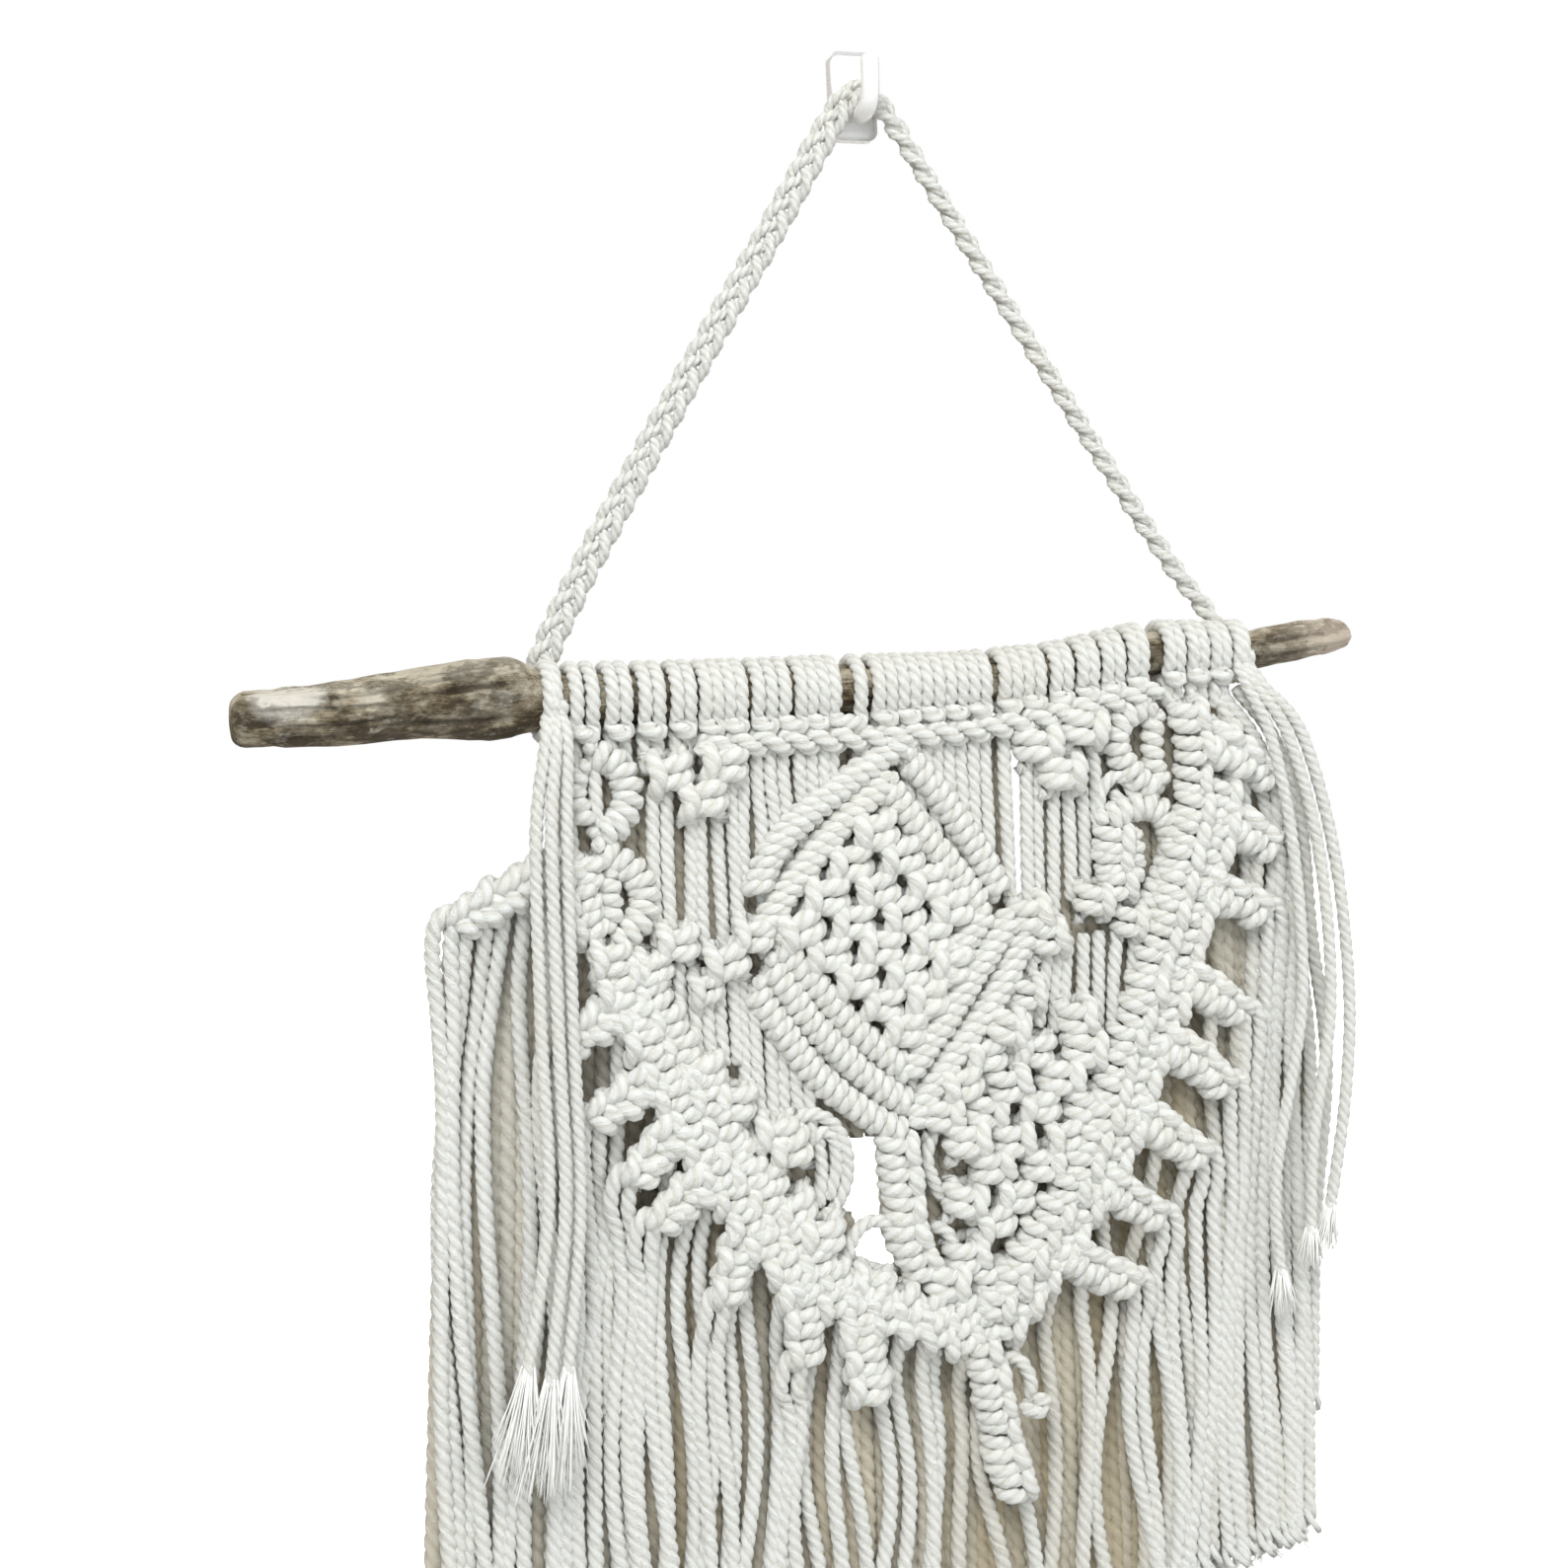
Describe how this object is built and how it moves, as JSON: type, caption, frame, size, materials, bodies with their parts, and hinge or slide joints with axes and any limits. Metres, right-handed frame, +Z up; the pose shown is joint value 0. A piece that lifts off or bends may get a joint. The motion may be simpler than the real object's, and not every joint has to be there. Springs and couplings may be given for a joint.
{
  "type": "macrame wall hanging on a driftwood branch with a wall hook",
  "caption": "Knotted cotton cord hanging with a diamond, nets, V band and fringe, tied to a driftwood branch and hung by a braid from a small wall hook.",
  "frame": {"origin": "middle of the wall hook's flat back, where it meets the wall", "axes": "+Z up, +X to the viewer's right, +Y into the wall"},
  "size_m": [0.337, 0.0322, 0.4806],
  "materials": {
    "driftwood": "weathered grey-brown driftwood with dark cracks and a pale bare patch",
    "hook_plastic": "smooth white plastic",
    "braid_cotton": "natural off-white three-ply cotton cord, plaited",
    "heading_cotton": "natural off-white three-ply cotton cord",
    "panel_cotton": "natural off-white three-ply cotton cord, knotted",
    "fringe_cotton": "natural off-white three-ply cotton cord, hanging free with cut ends"
  },
  "bodies": {
    "root": {"driftwood_branch": "driftwood", "wall_hook": "hook_plastic", "hanging_braid": "braid_cotton", "larks_head_heading": "heading_cotton", "knotted_panel": "panel_cotton", "fringe_left": "fringe_cotton", "fringe_right": "fringe_cotton"}
  },
  "joints": []
}
